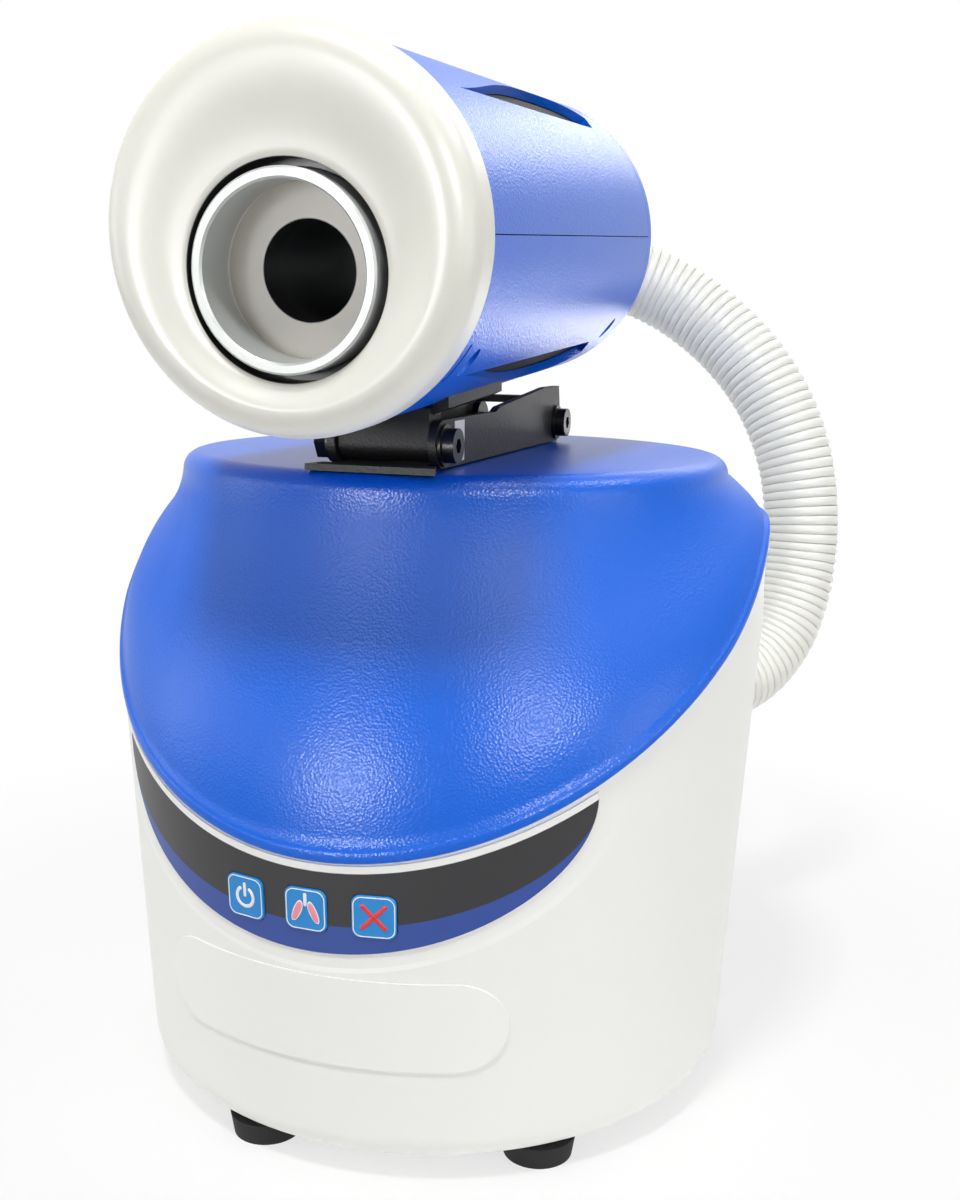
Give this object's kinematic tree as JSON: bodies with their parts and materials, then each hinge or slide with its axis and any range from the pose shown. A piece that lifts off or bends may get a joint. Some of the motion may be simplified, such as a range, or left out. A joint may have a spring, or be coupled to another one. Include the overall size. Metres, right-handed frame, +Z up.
{
  "type": "pulmonary function tester",
  "caption": "Table-top pulmonary function tester: round base, folding arm and breathing head with a hose.",
  "frame": {"origin": "centre of the round base, on the surface it stands on", "axes": "+Z up; the breathing socket and the keys face -Y; +X is to the right of someone behind it"},
  "size_m": [0.2333, 0.3133, 0.3405],
  "materials": {
    "white_housing": "fine satin moulded plastic",
    "blue_casing": "fine spark-grained moulded plastic",
    "overlay_film": "printed film, black over blue",
    "key_blue": "glossy printed key caps",
    "label_film": "bare satin label",
    "black_rubber": "matte moulded rubber",
    "black_steel": "black powder coat",
    "black_fastener": "black oxide",
    "zinc_screw": "zinc plated",
    "aluminium_ring": "fine turned",
    "aluminium_sheet": "mill finish",
    "grey_plastic": "warm grey moulded plastic",
    "dark_plastic": "black moulded plastic",
    "hose_plastic": "translucent corrugated plastic",
    "circuit_board": "green solder mask",
    "chip_black": "moulded epoxy and cans",
    "steel_plain": "plain steel"
  },
  "bodies": {
    "base": {"base_housing": "white_housing", "base_plate": "white_housing", "rubber_feet": "black_rubber", "base_screws": "zinc_screw", "top_cap": "blue_casing", "control_overlay": "overlay_film", "label_plate": "label_film", "key_board": "circuit_board", "key_switches": "chip_black", "blower_shelf": "aluminium_sheet", "shelf_pillars": "zinc_screw", "blower_casing": "dark_plastic", "blower_motor": "steel_plain", "blower_duct": "black_rubber", "hose_port": "white_housing", "port_seal": "black_rubber", "hose_cuff": "hose_plastic", "dc_inlet": "dark_plastic", "usb_socket": "steel_plain", "main_board": "circuit_board", "board_standoffs": "zinc_screw", "board_parts": "chip_black", "bracket_base": "black_steel", "bracket_screws": "black_fastener", "rear_pivot_bolt": "black_fastener", "rear_pivot_washers": "black_fastener", "rear_pivot_nut": "black_fastener", "hose_lower": "hose_plastic"},
    "impeller": {"blower_impeller": "dark_plastic"},
    "power_button": {"power_key": "key_blue"},
    "start_button": {"start_key": "key_blue"},
    "cancel_button": {"cancel_key": "key_blue"},
    "arm": {"arm_channel": "black_steel", "arm_tag": "label_film", "front_pivot_bolt": "black_fastener", "front_pivot_washers": "black_fastener", "front_pivot_nut": "black_fastener"},
    "head": {"head_bracket": "black_steel", "front_flange": "white_housing", "head_upper_shell": "blue_casing", "head_lower_shell": "blue_casing", "head_liner": "grey_plastic", "socket_ring": "aluminium_ring", "socket_insert": "grey_plastic", "flow_tube": "dark_plastic", "flow_screen": "steel_plain", "sensor_board": "circuit_board", "speaker_baffle": "dark_plastic", "oscillation_speaker": "chip_black", "head_rear_cap": "blue_casing", "hose_connector": "hose_plastic", "head_screws": "zinc_screw", "hose_upper": "hose_plastic"}
  },
  "joints": [
    {"name": "arm_lift", "type": "hinge", "parent": "base", "child": "arm", "pos_m": [0, 0.065, 0.2195], "axis": [-1, 0, 0], "range_deg": [0, 35], "deforming": ["hose_lower", "hose_upper"]},
    {"name": "head_tilt", "type": "hinge", "parent": "arm", "child": "head", "pos_m": [0, -0.061, 0.2195], "axis": [1, 0, 0], "range_deg": [0, 25], "deforming": ["hose_lower", "hose_upper"]},
    {"name": "impeller_spin", "type": "hinge", "parent": "base", "child": "impeller", "pos_m": [-0.0213, 0.01491, 0.1], "axis": [0, 0, 1], "continuous": true},
    {"name": "power_press", "type": "slide", "parent": "base", "child": "power_button", "axis": [0.2212, 0.9734, 0.0598], "range_m": [0, 0.0008], "stiffness_N_per_m": 400, "springref_m": -0.0005},
    {"name": "start_press", "type": "slide", "parent": "base", "child": "start_button", "axis": [0.0279, 0.9978, 0.0598], "range_m": [0, 0.0008], "stiffness_N_per_m": 400, "springref_m": -0.0005},
    {"name": "cancel_press", "type": "slide", "parent": "base", "child": "cancel_button", "axis": [-0.1665, 0.9842, 0.0598], "range_m": [0, 0.0008], "stiffness_N_per_m": 400, "springref_m": -0.0005}
  ]
}
